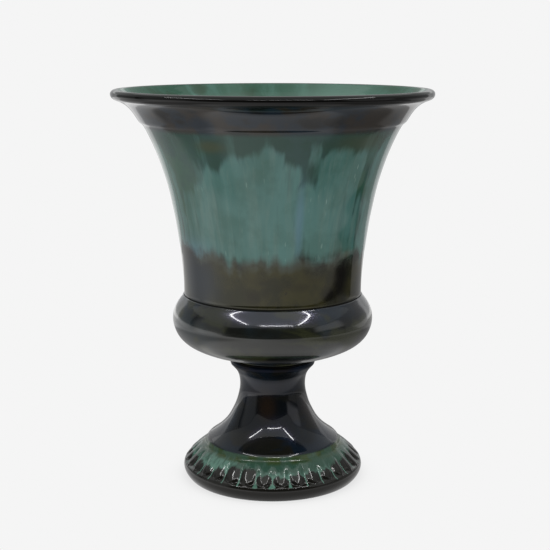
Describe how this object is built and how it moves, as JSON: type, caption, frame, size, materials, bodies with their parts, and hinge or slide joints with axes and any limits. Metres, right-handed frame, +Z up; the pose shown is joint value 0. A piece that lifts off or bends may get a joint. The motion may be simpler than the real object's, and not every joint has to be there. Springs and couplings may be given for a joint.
{
  "type": "urn vase",
  "caption": "Glazed pottery urn vase: a flared bell with a rolled lip, a round belly, and a hollow waisted pedestal on a gadrooned foot ring.",
  "frame": {"origin": "middle of the foot's ground face, on the surface that the vase stands on", "axes": "+Z up along the turning axis, -Y towards the viewer of the picture; round about Z but for the gadroons, whose valleys lie at the front, back and sides"},
  "size_m": [0.213, 0.213, 0.265],
  "materials": {
    "bell_glaze": "glossy green-blue drip glaze over a near-black brown glaze, green inside",
    "belly_glaze": "glossy near-black glaze with a blue and purple sheen",
    "pedestal_glaze": "glossy near-black glaze, with green-blue glaze pooled between the gadroons",
    "slip_clay": "fired dark clay, under the glaze"
  },
  "bodies": {
    "root": {"bell_casting": "bell_glaze", "bell_luting_slip": "slip_clay", "belly_casting": "belly_glaze", "pedestal_luting_slip": "slip_clay", "pedestal_casting": "pedestal_glaze"}
  },
  "joints": []
}
